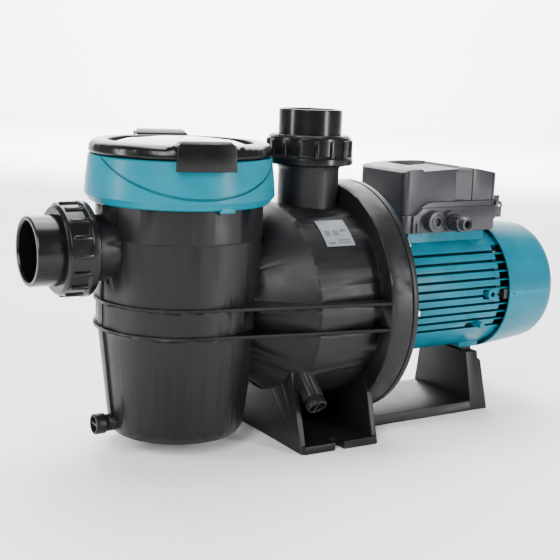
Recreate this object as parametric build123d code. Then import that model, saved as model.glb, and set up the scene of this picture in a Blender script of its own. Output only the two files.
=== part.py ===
from build123d import *
import math
import os

# Self-priming pool pump with a strainer pot, 63 mm union ports and a fan-cooled motor.
# Millimetres. +X runs along the pump shaft from the suction port to the motor, +Z is up,
# and the origin is on the floor midway between the two bolt slots of the front foot.

# ---- driving dimensions -------------------------------------------------------------
shaft_height = 154.0            # shaft axis above the floor
pot_x = -151.0                  # upright axis of the strainer pot
discharge_x = 15.5              # upright axis of the discharge port
port_height = 227.0             # axis of the suction port above the floor
suction_mouth_x = -325.0        # outer face of the suction socket
discharge_top = 376.7           # outer face of the discharge socket
pipe_radius = 31.6              # bore of a socket for 63 mm pressure pipe
pipe_depth = 38.0               # how far the pipe goes into its socket
socket_radius = 37.0            # outside of the pipe socket
water_radius = 27.0             # water way through the necks
neck_radius = 35.6              # outside of the necks moulded on the body
running_gap = 0.4               # between faces that turn or slide past each other

pot_rim_top = 318.0
pot_wall_radius = 91.3          # outside of the pot above the ledges
pot_bottom = 14.0
pot_inner_radius = 84.0
ledge_heights = (141.0, 171.0)  # tops of the two stiffening ledges
ledge_thickness = 3.5
ledge_pot_radius = 94.2

drum_front_x = -94.0            # small end of the sloping drum front
drum_edge_x = -35.5             # where the slope meets the barrel
drum_radius = 115.0
drum_wall = 7.0
flange_front_x = 47.0
flange_rear_x = 74.0
flange_radius = 139.0

foot_left_x = -49.0
foot_right_x = 53.0
foot_half_width = 112.0
foot_thickness = 9.0
foot_slot_width = 12.0
foot_slot_depth = 16.0

lid_ring_radius = 100.2
collar_base = 275.0
collar_top = 325.6
lid_ring_base = 326.5
lid_ring_top = 341.0
window_radius = 80.3
grip_angle = -102.0             # where the near grip stands when the ring is locked

plate_rear_x = 82.0
motor_front_x = 112.0
motor_radius = 78.0
frame_bore = 62.0
core_rear_x = 255.0
fin_rear_x = 271.0
fin_tip_x = 257.0                # where the fins thin down ahead of the fan cover
cover_front_x = 268.0
cover_rear_x = 353.0
cover_radius = 83.6
cover_rear_radius = 76.0
fin_pitch = 10.2
fin_count = 10
groove_width = 3.2
fin_tip = 1.5                   # thickness of a fin where it runs on to the fan cover
shaft_radius = 12.45
bearing_bore = 12.5
casing_bolt_radius = 127.0
bracket_bolt_radius = 87.0
tie_bolt_radius = 67.0
bearing_radius = 26.0

box_left_x = 122.0
box_right_x = 268.0
box_half_width = 47.5
box_seat = 231.0                # flat top of the motor frame under the terminal box
box_top = 313.0
hinge_x = 275.0
hinge_height = 261.0
gland_x = 187.0
blank_x = 163.0
gland_height = 246.0
gland_reach = 43.0               # how far the gland nut stands out of the box

stand_left_x = 84.0
stand_face_x = 238.0
stand_right_x = 264.0
stand_half_width = 57.0
stand_plate = 12.0
stand_top = 78.0
stand_screw_x = 247.5


# ---- small helpers ------------------------------------------------------------------
def rod(direction, radius, start, end, x=0.0, y=0.0, z=0.0):
    """A round bar along X, Y or Z from start to end."""
    bar = Cylinder(radius, end - start, align=(Align.CENTER, Align.CENTER, Align.MIN))
    if direction == "x":
        return Pos(start, y, z) * Rot(0, 90, 0) * bar
    if direction == "y":
        return Pos(x, start, z) * Rot(-90, 0, 0) * bar
    return Pos(x, y, start) * bar


def ring(direction, outer, inner, start, end, x=0.0, y=0.0, z=0.0):
    """A plain tube along X, Y or Z."""
    hole = rod(direction, inner, start - 1, end + 1, x, y, z)
    return rod(direction, outer, start, end, x, y, z) - hole


def block(x0, x1, y0, y1, z0, z1):
    """A box between two corners."""
    solid = Box(x1 - x0, y1 - y0, z1 - z0, align=(Align.MIN, Align.MIN, Align.MIN))
    return Pos(x0, y0, z0) * solid


def turned_x(points, height=shaft_height):
    """A solid of revolution about the shaft line, from (x, radius) points."""
    profile = Plane.XZ * make_face(Polyline(*points, close=True))
    return Pos(0, 0, height) * revolve(profile, Axis.X)


def turned_z(points, x=0.0, y=0.0):
    """A solid of revolution about an upright line, from (radius, z) points."""
    profile = Plane.XZ * make_face(Polyline(*points, close=True))
    return Pos(x, y, 0) * revolve(profile, Axis.Z)


def oval_ring(major, minor_width, low, high, x=0.0):
    """A seal ring about an upright line, with rounded edges."""
    inner = major - minor_width / 2
    outer = major + minor_width / 2
    edge = min(minor_width, high - low) * 0.3
    return turned_z(
        [(inner + edge, low), (outer - edge, low), (outer, low + edge), (outer, high - edge),
         (outer - edge, high), (inner + edge, high), (inner, high - edge), (inner, low + edge)],
        x,
    )


def around_shaft(shape, count, first=0.0):
    """Copies of a shape spread evenly round the shaft line."""
    centre = Pos(0, 0, shaft_height)
    back = Pos(0, 0, -shaft_height)
    return [centre * Rot(first + 360.0 * i / count, 0, 0) * back * shape for i in range(count)]


def save(node, shape):
    """Writes one sub-part to its own file."""
    if isinstance(shape, (list, tuple)):
        shape = Compound(children=list(shape))
    export_step(shape, os.path.join("parts", node + ".step"))


# ---- union ports --------------------------------------------------------------------
# A port is built upright with its mouth at height 0 and the water way running down,
# then placed on the suction line or the discharge line.
nut_start = 29.0                # depth of the nut's outer face below the mouth
nut_end = 63.0
lip_end = 39.6
joint_depth = 46.0              # where the socket flange meets the body neck


def place_suction(shape):
    return Pos(suction_mouth_x, 0, port_height) * Rot(0, -90, 0) * shape


def place_discharge(shape):
    return Pos(discharge_x, 0, discharge_top) * shape


def union_socket():
    return turned_z([
        (pipe_radius, 0), (socket_radius - 1, 0), (socket_radius, -1),
        (socket_radius, -lip_end - 0.4), (43.5, -lip_end - 0.4), (43.5, -joint_depth + 0.2),
        (water_radius, -joint_depth + 0.2), (water_radius, -pipe_depth - 1.5),
        (pipe_radius, -pipe_depth),
    ])


def union_nut():
    """Nut with bevelled outer edge, a rear flange and sixteen grip ribs."""
    body = turned_z([
        (socket_radius + running_gap, -nut_start), (46.0, -nut_start), (48.5, -nut_start - 3.0),
        (48.8, -nut_start - 22.0), (50.0, -nut_start - 25.0), (51.3, -nut_start - 26.5),
        (51.3, -nut_end + 1.5), (50.0, -nut_end), (44.7, -nut_end), (44.7, -lip_end),
        (socket_radius + running_gap, -lip_end),
    ])
    rib = Pos(49.4, 0, -nut_start - 25.0) * Box(3.0, 4.5, 20.0, align=(Align.CENTER, Align.CENTER, Align.MIN))
    for i in range(16):
        body += Rot(0, 0, 22.5 * i) * rib
    return body


def union_oring():
    return oval_ring(33.5, 4.0, -joint_depth - 2.4, -joint_depth + 0.1)


def body_neck(length):
    """The part of the port that is moulded on the pump body, without its water way."""
    return turned_z([
        (0, -joint_depth), (43.5, -joint_depth), (44.3, -joint_depth - 1.0),
        (44.3, -nut_end - 1.0), (37.0, -nut_end - 2.0), (neck_radius, -nut_end - 6.0),
        (neck_radius, -length), (0, -length),
    ])


def neck_bore(length):
    groove = ring("z", 35.6, 31.4, -joint_depth - 2.5, -joint_depth + 1)
    return rod("z", water_radius, -length, -joint_depth + 1) + groove


# ---- pump body ----------------------------------------------------------------------
def pot_outside():
    return turned_z([
        (0, pot_bottom), (60, pot_bottom), (71.5, pot_bottom + 3.5), (76.5, pot_bottom + 11),
        (89.0, ledge_heights[0] - 8), (91.2, ledge_heights[0]), (pot_wall_radius, 200),
        (pot_wall_radius, 238), (pot_wall_radius + 0.9, 239), (pot_wall_radius + 0.9, collar_base - 0.4),
        (pot_wall_radius, collar_base), (pot_wall_radius, pot_rim_top), (0, pot_rim_top),
    ], pot_x)


def pot_inside():
    """Cavity of the pot, with a seat for the strainer basket near the top."""
    seat = 262.0
    return turned_z([
        (0, pot_bottom + 7), (60, pot_bottom + 7), (69, pot_bottom + 14), (81, ledge_heights[0] - 8),
        (83, ledge_heights[0] + 5), (pot_inner_radius, seat - 12), (80.5, seat - 6), (80.5, seat),
        (pot_inner_radius, seat), (pot_inner_radius, pot_rim_top + 5), (0, pot_rim_top + 5),
    ], pot_x)


def drum_outside():
    return turned_x([
        (drum_front_x, 0), (drum_front_x, 70), (drum_edge_x - 2, drum_radius - 3),
        (drum_edge_x + 3, drum_radius), (flange_front_x, drum_radius + 0.6),
        (flange_front_x, 135.5), (flange_front_x + 2, 136.5), (flange_rear_x - 2, flange_radius),
        (flange_rear_x, flange_radius - 1), (flange_rear_x, 0),
    ])


def inlet_boss():
    """Boss on the pot that takes the snout of the diffuser."""
    return rod("x", 42, pot_x, -46, z=shaft_height)


def drum_inside():
    hollow = turned_x([
        (drum_front_x + 8, 0), (drum_front_x + 8, 64), (drum_edge_x, drum_radius - drum_wall - 2),
        (drum_edge_x + 6, drum_radius - drum_wall), (flange_rear_x + 5, drum_radius - drum_wall),
        (flange_rear_x + 5, 0),
    ])
    return hollow - pot_outside() - inlet_boss()


def ledge(top):
    """Flat web round the pot that widens along both sides to the big flange."""
    outline = make_face(Polyline((pot_x - 18, -90.9), (flange_front_x + 1, -134.5),
                                 (flange_front_x + 1, 134.5), (pot_x - 18, 90.9), close=True))
    plan = outline + Pos(pot_x, 0) * Circle(ledge_pot_radius)
    return Pos(0, 0, top - ledge_thickness) * extrude(plan, ledge_thickness)


def foot_web(x, thickness, top_y, top_z, base_y):
    """Upright web across the foot, narrower at the top than at the floor."""
    outline = Plane.YZ * make_face(Polyline((-base_y, 0), (base_y, 0), (top_y, top_z),
                                            (-top_y, top_z), close=True))
    return Pos(x, 0, 0) * extrude(outline, thickness)


def front_foot():
    floor_outline = make_face(Polyline(
        (foot_left_x, -104), (foot_left_x + 4, -foot_half_width),
        (foot_right_x - 3, -foot_half_width - 2), (foot_right_x, -foot_half_width + 2),
        (foot_right_x, foot_half_width - 2), (foot_right_x - 3, foot_half_width + 2),
        (foot_left_x + 4, foot_half_width), (foot_left_x, 104), close=True))
    foot = extrude(floor_outline, foot_thickness)
    web = 6.5
    rib = 4.0
    foot += foot_web(foot_left_x, web, 76, 104, foot_half_width - 2)
    foot += foot_web(foot_right_x - web, web, 92, 70, foot_half_width)
    foot += block(foot_left_x + rib, foot_right_x - rib, -rib, rib, 5, 60)
    for side in (-1, 1):
        mouth = side * (foot_half_width + 5)
        end = side * (foot_half_width - foot_slot_depth + foot_slot_width / 2)
        low, high = min(mouth, end), max(mouth, end)
        foot -= block(-foot_slot_width / 2, foot_slot_width / 2, low, high, -1, foot_thickness + 1)
        foot -= rod("z", foot_slot_width / 2, -1, foot_thickness + 1, y=end)
    return foot


volute_drain_tilt = 41.0        # how far the volute drain points below the horizontal
volute_drain_x = -33.5
volute_drain_mouth = 141.0      # distance of its mouth from the shaft line


def place_volute_drain(shape):
    """Puts a shape built along +Z, with its mouth at 0, on the volute drain line."""
    turn = Rot(90 + volute_drain_tilt, 0, 0)
    return Pos(volute_drain_x, 0, shaft_height) * turn * Pos(0, 0, volute_drain_mouth) * shape


pot_drain_mouth_x = -237.0
pot_drain_height = 31.0


def place_pot_drain(shape):
    return Pos(pot_drain_mouth_x, 0, pot_drain_height) * Rot(0, -90, 0) * shape


def make_casing():
    """The whole casing: pot, drum, necks, ledges, foot and drain bosses."""
    body = pot_outside() + drum_outside()
    body += place_suction(body_neck(130))
    body += place_discharge(body_neck(140))
    for top in ledge_heights:
        body += ledge(top)
    drum_clearance = drum_inside()
    body += front_foot()
    body += parting_rib()
    body += place_volute_drain(rod("z", 11.5, -34, 0))
    body += place_pot_drain(rod("z", 9.5, -24, 0))
    body -= pot_inside()
    body -= drum_clearance
    body -= place_suction(neck_bore(130))
    body -= place_discharge(neck_bore(150))
    body -= rod("x", water_radius + 6.2, -62, -40, z=shaft_height)
    body -= rod("x", water_radius, pot_x + 40, -40, z=shaft_height)
    body -= ring("z", 88.9, 85.5, pot_rim_top - 2.6, pot_rim_top + 1, pot_x)
    body -= place_volute_drain(rod("z", 6.6, -45, 1))
    body -= place_pot_drain(rod("z", 5.6, -45, 1))
    for hole in around_shaft(rod("x", 3.3, 52, 80, z=shaft_height + casing_bolt_radius), 10, 18):
        body -= hole
    return body


def parting_rib():
    """Upright rib down the suction side of the pot, along the moulding's parting line."""
    side = Plane.XZ * make_face(Polyline(
        (pot_x - 70, pot_bottom + 4), (pot_x - 79, pot_bottom + 11), (pot_x - 92, ledge_heights[0]),
        (pot_x - 93, 200), (pot_x - 85, 200), (pot_x - 85, 140), (pot_x - 65, pot_bottom + 10),
        close=True))
    return Pos(0, 3, 0) * extrude(side, 6)


def pot_zone():
    """Space that the strainer pot takes up in the casing, with its neck, drain and inlet bosses."""
    zone = block(pot_x - 200, pot_x, -150, 150, -10, pot_rim_top + 10) + pot_outside()
    return zone + inlet_boss()


def split_casing():
    """The one-piece casing, divided into pot, drum and foot where they meet."""
    casing = make_casing()
    foot = front_foot() - drum_outside() - place_volute_drain(rod("z", 11.5, -34, 0))
    pot = casing & pot_zone()
    drum = casing - pot_zone() - foot
    return pot, drum, foot


def make_drain_plug(stem_radius, stem_length, head_radius, head_length, seat):
    """Slotted screw plug with a rim, built with its seat at height 0."""
    plug = rod("z", stem_radius, -stem_length, seat)
    plug += turned_z([(0, seat), (head_radius, seat), (head_radius, seat + head_length - 1),
                      (head_radius - 1, seat + head_length), (0, seat + head_length)])
    plug -= rod("z", head_radius - 2.6, seat + 3.0, seat + head_length + 1)
    plug += block(-1.6, 1.6, -head_radius + 2, head_radius - 2, seat + 2, seat + head_length - 1.5)
    return plug


# ---- strainer pot fittings ----------------------------------------------------------
def make_pot_collar():
    """Coloured collar round the top of the pot, with a channel for the lock ring's skirt."""
    channel = lid_ring_base - 22.5
    collar = turned_z([
        (pot_wall_radius, collar_base), (97.5, collar_base), (99.5, collar_base + 1.5),
        (101.6, 280.0), (104.4, 283.5), (103.4, 299), (101.4, 316.5), (100.4, 324.2),
        (99.2, collar_top), (95.2, collar_top), (95.2, channel), (pot_wall_radius, channel),
    ], pot_x)
    tab = block(-9, 9, -100.2, -95, collar_base - 2.6, collar_base + 3)
    return collar + Pos(pot_x, 0, 0) * Rot(0, 0, 4) * tab


def make_lid_ring():
    """Lock ring with a skirt that runs in the collar and two raised grips."""
    lip = 12.0
    skirt_end = lid_ring_base - 20.0
    body = turned_z([
        (91.7, skirt_end), (94.8, skirt_end), (94.8, lid_ring_base), (98.4, lid_ring_base),
        (lid_ring_radius, lid_ring_base + 2.5), (99.6, 335), (97.0, 339.2), (93.0, lid_ring_top),
        (window_radius + 1.5, lid_ring_top), (window_radius, lid_ring_top - 1.5),
        (window_radius, lid_ring_top - lip), (91.7, lid_ring_top - lip),
    ], pot_x)
    for angle in (grip_angle, grip_angle + 180):
        body += Pos(pot_x, 0, 0) * Rot(0, 0, angle) * ring_grip()
    return body


grip_half_width = 30.0
grip_spread = 1.8               # extra half width at its lower edge
grip_low = 316.4


def ring_grip():
    """One grip, standing on +X: an arched bar over the ring with a hand recess under it."""
    side = Plane.XZ * make_face(Polyline(
        (88, lid_ring_top - 2), (88, 342.5), (92, 345.5), (100, 347.2), (107, 347.0), (110.5, 343.5),
        (111.5, grip_low), (107.5, grip_low), (104.5, 331), (98, 336), close=True))
    front = Plane.YZ * make_face(Polyline(
        (-grip_half_width - grip_spread, grip_low - 1), (grip_half_width + grip_spread, grip_low - 1),
        (grip_half_width, 342), (grip_half_width - 5, 348), (5 - grip_half_width, 348),
        (-grip_half_width, 342), close=True))
    bar = Pos(0, 40, 0) * extrude(side, 80)
    return bar & extrude(front, 130)


def make_clear_lid():
    """Clear domed window with a flat sealing rim."""
    rim_low = pot_rim_top + 0.3
    rim_high = 328.6
    return turned_z([
        (0, 338.5), (40, 336.8), (70, 332.0), (76, 327.0), (76, rim_low), (90.4, rim_low),
        (90.4, rim_high), (79.9, rim_high), (79.6, 336.5), (60, 341.0), (30, 343.8), (0, 344.5),
    ], pot_x)


basket_rim = 262.4
basket_bottom = 66.0
basket_top_radius = 79.0
basket_base_radius = 64.0


def make_basket():
    """Tapered strainer basket with rows of upright slots and a perforated floor."""
    wall = 2.2
    shell = turned_z([
        (0, basket_bottom), (basket_base_radius, basket_bottom), (basket_top_radius, basket_rim),
        (83.4, basket_rim), (83.4, basket_rim + 4), (basket_top_radius - wall, basket_rim + 4),
        (basket_base_radius - wall, basket_bottom + wall), (0, basket_bottom + wall),
    ], pot_x)
    slot_count = 20
    cutters = []
    for row in range(4):
        low = basket_bottom + 10 + row * 45
        for i in range(slot_count):
            slot = block(45, 90, -4.2, 4.2, low, low + 34)
            cutters.append(Pos(pot_x, 0, 0) * Rot(0, 0, (i + 0.5) * 360 / slot_count) * slot)
    for radius, count in ((18, 6), (34, 12), (50, 18)):
        for i in range(count):
            hole = rod("z", 4, basket_bottom - 1, basket_bottom + 5, x=radius)
            cutters.append(Pos(pot_x, 0, 0) * Rot(0, 0, i * 360 / count) * hole)
    inlet = rod("x", 31, pot_x - 90, pot_x - 30, z=port_height)
    shell = shell - cutters - inlet
    for side in (-1, 1):
        low, high = sorted((side * 70, side * 86))
        shell -= rod("y", 2.55, low, high, x=pot_x, z=basket_rim - 8)
    return shell


def make_basket_handle():
    """Bail handle that folds flat across the basket, with a pivot stub at each end."""
    height = basket_rim - 8
    reach = 66.0
    outer = Plane.XY * (Circle(reach) - Circle(reach - 8))
    half = outer & (Pos(0, reach) * Rectangle(3 * reach, 2 * reach))
    bow = Pos(pot_x, 0, height - 3) * Rot(0, 0, 90) * extrude(half, 6)
    for side in (-1, 1):
        y = side * 70
        bow += rod("y", 5, y - 4.4, y + 4.4, x=pot_x, z=height)
        low, high = sorted((side * 62, side * 79.5))
        bow += rod("y", 2.5, low, high, x=pot_x, z=height)
    return bow


# ---- hydraulics ---------------------------------------------------------------------
def make_diffuser():
    """Suction snout and bowl that guides water off the impeller."""
    shell = turned_x([
        (-58, water_radius + 0.5), (-58, 33.0), (14, 33.0), (20, 60), (28, 88), (56, 88),
        (56, 81), (33, 81), (27, 56), (22, 29.5), (14, water_radius + 0.5),
    ])
    vane = block(30, 56, -2, 2, 81, 88.5)
    for copy in around_shaft(Pos(0, 0, shaft_height) * vane, 6):
        shell += copy
    return shell


def make_impeller():
    """Closed impeller with six backward vanes between two shrouds."""
    front = turned_x([(24.5, 30.5), (24.5, 25.0), (36.5, 25.0), (36.5, 68), (33.5, 68), (33.5, 36)])
    back = turned_x([(48, 12), (48, 68), (51.5, 68), (51.5, 20), (58, 20), (58, 8.2), (42, 8.2), (42, 12)])
    wheel = front + back
    vane = block(36, 48.5, -1.5, 1.5, 20, 66)
    for i in range(6):
        turn = Pos(0, 0, shaft_height) * Rot(60 * i, 0, 0) * Pos(0, 12, 0) * Rot(-24, 0, 0)
        wheel += turn * vane
    limit = rod("x", 68, 20, 60, z=shaft_height)
    return (wheel & limit) - rod("x", 8.2, 40, 60, z=shaft_height)


def make_seal_plate():
    """Rear wall of the wet end, with the seat housing and the outer clamping ring."""
    plate = turned_x([
        (flange_rear_x + 0.6, flange_radius), (plate_rear_x - 1, flange_radius),
        (plate_rear_x, flange_radius - 1.5), (plate_rear_x, 20), (72, 20), (72, 15.0),
        (66, 15.0), (66, 28), (72.5, 34), (72.5, 100), (70.5, 104), (70.5, 107.6),
        (flange_rear_x, 107.6), (flange_rear_x, flange_radius - 3),
        (flange_rear_x + 0.6, flange_radius - 3),
    ])
    plate -= turned_x([(flange_rear_x - 1, 112.4), (flange_rear_x - 1, 117.6),
                       (flange_rear_x + 2.2, 117.6), (flange_rear_x + 2.2, 112.4)])
    for hole in around_shaft(rod("x", 3.6, 70, 90, z=shaft_height + casing_bolt_radius), 10, 18):
        plate -= hole
    for hole in around_shaft(rod("x", 2.5, 75, 90, z=shaft_height + bracket_bolt_radius), 4, 45):
        plate -= hole
    return plate


def make_casing_screws():
    """Ten flanged hexagon screws that clamp the seal plate to the pump body."""
    head = extrude(Plane.YZ * RegularPolygon(5.8, 6), 5)
    screw = Pos(plate_rear_x + 1.6, 0, 0) * head
    screw += rod("x", 8, plate_rear_x, plate_rear_x + 1.6)
    screw += rod("x", 3.2, 56, plate_rear_x + 1)
    return around_shaft(Pos(0, 0, shaft_height + casing_bolt_radius) * screw, 10, 18)


def make_casing_oring():
    return turned_x([(74, 113), (74, 117), (76.1, 117), (76.1, 113)])


def make_seal_seat():
    """Ceramic seat of the shaft seal."""
    return turned_x([(66.2, 13.2), (66.2, 14.9), (72.1, 14.9), (72.1, 19.9), (77, 19.9), (77, 13.2)])


def make_seal_head():
    """Turning half of the shaft seal, with its carbon face."""
    return turned_x([(60.2, 12.55), (60.2, 14.6), (66.0, 14.6), (66.0, 12.55)])


def make_slinger():
    """Rubber ring that throws drips off the shaft before the bearing."""
    return turned_x([(86, 12.46), (86, 22), (87.5, 22), (88.5, 15), (91, 15), (91, 12.46)])


# ---- motor --------------------------------------------------------------------------
def make_motor_bracket():
    """Aluminium adapter between the seal plate and the motor, holding the front bearing."""
    body = turned_x([
        (plate_rear_x + 0.2, 60), (plate_rear_x + 0.2, 95), (plate_rear_x + 8, 95),
        (plate_rear_x + 8, 79), (motor_front_x, 79), (motor_front_x, frame_bore - 0.1),
        (motor_front_x + 5, frame_bore - 0.1), (motor_front_x + 5, 46), (111, 46), (109, 32),
        (109, 16), (94, 16),
        (94, bearing_radius), (93, 34), (95, 60),
    ])
    body += ring("x", 34, bearing_radius, 93, 109, z=shaft_height)
    for hole in around_shaft(rod("x", 3.0, 75, 92, z=shaft_height + bracket_bolt_radius), 4, 45):
        body -= hole
    for hole in around_shaft(rod("x", 2.7, 92, 120, z=shaft_height + tie_bolt_radius), 4, 45):
        body -= hole
    body -= rod("x", bearing_radius, 92, 107, z=shaft_height)
    return body


def make_bracket_screws():
    """Four socket screws from the bracket into the seal plate."""
    screw = rod("x", 4.6, plate_rear_x + 8, plate_rear_x + 12.5) + rod("x", 2.45, 76, plate_rear_x + 9)
    screw -= extrude(Plane.YZ.offset(plate_rear_x + 10) * RegularPolygon(2.4, 6), 5)
    return around_shaft(Pos(0, 0, shaft_height + bracket_bolt_radius) * screw, 4, 45)


def make_bearing(start):
    """Deep-groove ball bearing 25 x 52 x 15 with shields, drawn as its rings and shields."""
    return turned_x([
        (start, bearing_bore), (start, 17), (start + 0.8, 17.4), (start + 0.8, 21.6),
        (start, 22), (start, bearing_radius), (start + 15, bearing_radius), (start + 15, 22),
        (start + 14.2, 21.6), (start + 14.2, 17.4), (start + 15, 17), (start + 15, bearing_bore),
    ])


front_bearing_x = 92.0
rear_bearing_x = 254.0


def make_shaft():
    """Stepped shaft from the impeller to the fan."""
    return turned_x([
        (42, 0), (42, 8.15), (58.2, 8.15), (58.2, 12.5), (66, 12.5), (80, 12.5), (80, shaft_radius),
        (112, shaft_radius), (114, 14), (250, 14), (252, shaft_radius), (272, shaft_radius),
        (274, 9), (322, 9), (324, 7), (324, 0),
    ])


rotor_start = 142.0
rotor_end = 226.0


def make_rotor():
    """Cast squirrel-cage rotor with shallow bars and end rings."""
    return turned_x([
        (rotor_start - 6, 22), (rotor_start - 6, 34), (rotor_start, 34), (rotor_start, 36),
        (rotor_end, 36), (rotor_end, 34), (rotor_end + 6, 34), (rotor_end + 6, 22),
        (rotor_end, 22), (rotor_end, 14), (rotor_start, 14), (rotor_start, 22),
    ])


def make_stator():
    return ring("x", frame_bore, 36.6, rotor_start, rotor_end, z=shaft_height)


def make_windings():
    """The two copper end turns that stand out of the stator."""
    front = turned_x([(rotor_start - 0.1, 40), (rotor_start - 16, 42), (rotor_start - 18, 46),
                      (rotor_start - 18, 54), (rotor_start - 16, 58), (rotor_start - 0.1, 59)])
    rear = turned_x([(rotor_end + 0.1, 40), (rotor_end + 16, 42), (rotor_end + 18, 46),
                     (rotor_end + 18, 54), (rotor_end + 16, 58), (rotor_end + 0.1, 59)])
    return [front, rear]


def make_motor_frame():
    """Round finned frame with level fins on both sides and a flat seat on top."""
    frame = rod("x", motor_radius, motor_front_x, fin_rear_x, z=shaft_height)
    frame += block(box_left_x + 12, 252, -43, 43, 200, box_seat)
    frame += block(232, 262, -36, 36, stand_top, 100)
    lowest = shaft_height - 41.0
    for i in range(fin_count):
        z = lowest + fin_pitch * i
        side = math.sqrt(motor_radius ** 2 - (z - shaft_height) ** 2)
        depth = 11.0
        for sign in (-1, 1):
            low, high = sorted((sign * (side - depth), sign * (motor_radius + 20)))
            frame -= block(motor_front_x - 1, fin_rear_x + 1, low, high, z - groove_width / 2,
                           z + groove_width / 2)
            fin_under = z + fin_pitch - groove_width / 2 - fin_tip
            frame -= block(fin_tip_x, fin_rear_x + 1, low, high, z, fin_under)
    for sign in (-1, 1):
        low, high = sorted((sign * 66, sign * 90))
        frame -= block(229, 238, low, high, 149, 161)
        low, high = sorted((sign * 60, sign * 90))
        frame -= block(211, 226, low, high, 114.5, 119.5)
        low, high = sorted((sign * 60, sign * 81.5))
        frame += rod("y", 7, low, high, x=242, z=155)
        frame += rod("y", 4, low, high, x=228, z=117)
        low, high = sorted((sign * 70, sign * 83))
        frame -= rod("y", 3.2, low, high, x=242, z=155)
    frame -= turned_x([(core_rear_x, 0), (core_rear_x, 72.5), (fin_rear_x + 1, 72.5), (fin_rear_x + 1, 0)])
    frame -= rod("x", frame_bore, motor_front_x - 1, core_rear_x + 1, z=shaft_height)
    for hole in around_shaft(rod("x", 2.7, 100, 270, z=shaft_height + tie_bolt_radius), 4, 45):
        frame -= hole
    frame -= rod("z", 9, 200, box_seat + 1, x=190)
    frame -= block(box_left_x - 2, fin_rear_x + 1, -60, 60, box_seat, 260)
    frame -= block(226, fin_rear_x + 1, -60, 60, 60, stand_top)
    for lug_gap in around_shaft(block(core_rear_x, fin_rear_x + 1, -6.6, 6.6, shaft_height + 66, 260), 4):
        frame -= lug_gap
    for x in (150, 236):
        for y in (-34, 34):
            frame -= rod("z", 2.0, box_seat - 10, box_seat + 1, x=x, y=y)
    for y in (-22, 22):
        frame -= rod("z", 3.2, stand_top - 1, 92, x=stand_screw_x, y=y)
    return frame


cover_screw_x = 276.0


def make_rear_shield():
    """Rear end shield with the bearing housing and four lugs for the fan cover."""
    body = turned_x([
        (core_rear_x + 0.1, 44), (core_rear_x + 0.1, 71.5), (core_rear_x + 7, 71.5), (core_rear_x + 12, 60),
        (core_rear_x + 14, 36), (core_rear_x + 18, 34), (core_rear_x + 18, 18),
        (core_rear_x + 14.2, 18), (core_rear_x + 14.2, bearing_radius), (rear_bearing_x - 4, bearing_radius),
        (rear_bearing_x - 4, 34), (core_rear_x + 0.1, 36),
    ])
    lug = block(core_rear_x + 7, core_rear_x + 26, -6, 6, 62, cover_radius - 4.0)
    lug += block(core_rear_x + 1, core_rear_x + 10, -6, 6, 60, 71.5)
    lug -= rod("z", 2.2, 70, 90, x=cover_screw_x)
    for copy in around_shaft(Pos(0, 0, shaft_height) * lug, 4, 0):
        body += copy
    for hole in around_shaft(rod("x", 2.7, 250, 275, z=shaft_height + tie_bolt_radius), 4, 45):
        body -= hole
    return body


def make_tie_bolts():
    """Four long bolts that clamp the end shields on the frame."""
    bolt = rod("x", 2.4, 96, core_rear_x + 13) + rod("x", 4.4, core_rear_x + 12.2, core_rear_x + 17)
    bolt -= block(core_rear_x + 15.5, core_rear_x + 18, -0.8, 0.8, -5, 5)
    return around_shaft(Pos(0, 0, shaft_height + tie_bolt_radius) * bolt, 4, 45)


def make_fan():
    """Radial fan with seven straight blades."""
    fan = turned_x([(292, 9.03), (292, 16), (300, 18), (300, 60), (303, 62), (303, 18), (318, 16),
                    (318, 9.03)])
    blade = block(300, 320, -1.2, 1.2, 14, 70)
    for copy in around_shaft(Pos(0, 0, shaft_height) * blade, 7):
        fan += copy
    return fan - rod("x", 9.03, 290, 322, z=shaft_height)


def cover_skin(offset):
    """Tapered cowl with a rounded rear corner, drawn in by offset from the outside."""
    front = cover_radius - offset
    rear = cover_rear_radius - offset
    end = cover_rear_x - offset
    outline = Polyline((cover_front_x - 1, 0), (cover_front_x - 1, front), (end, rear), (end, 0), close=True)
    face = make_face(outline)
    corner = face.vertices().sort_by(Axis.X)[-2:].sort_by(Axis.Y)[-1]
    profile = Plane.XZ * fillet(corner, 17 - offset)
    return Pos(0, 0, shaft_height) * revolve(profile, Axis.X)


def make_fan_cover():
    """Domed cowl with an inlet grille in its rear face."""
    cover = cover_skin(0) - cover_skin(2.4) - rod("x", 100, cover_front_x - 10, cover_front_x, z=shaft_height)
    for radius in (18, 29, 40, 51):
        slot = ring("x", radius + 3.4, radius - 3.4, cover_rear_x - 10, cover_rear_x + 1, z=shaft_height)
        for angle in (0, 60, 120):
            spoke = Pos(0, 0, shaft_height) * Rot(angle, 0, 0) * block(300, 360, -3, 3, -80, 80)
            slot -= spoke
        cover -= slot
    for hole in around_shaft(rod("z", 2.6, shaft_height + 70, shaft_height + 95, x=cover_screw_x), 4):
        cover -= hole
    return cover


def make_cover_screws():
    """Four countersunk screws that hold the cowl on its lugs."""
    z = shaft_height + cover_radius
    head_z = z - 1.6
    screw = rod("z", 2.1, z - 11, z - 0.8, x=cover_screw_x)
    screw += rod("z", 2.5, head_z, z - 0.9, x=cover_screw_x)
    screw -= block(cover_screw_x - 3, cover_screw_x + 3, -0.5, 0.5, z - 1.5, z)
    return around_shaft(screw, 4)


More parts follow.
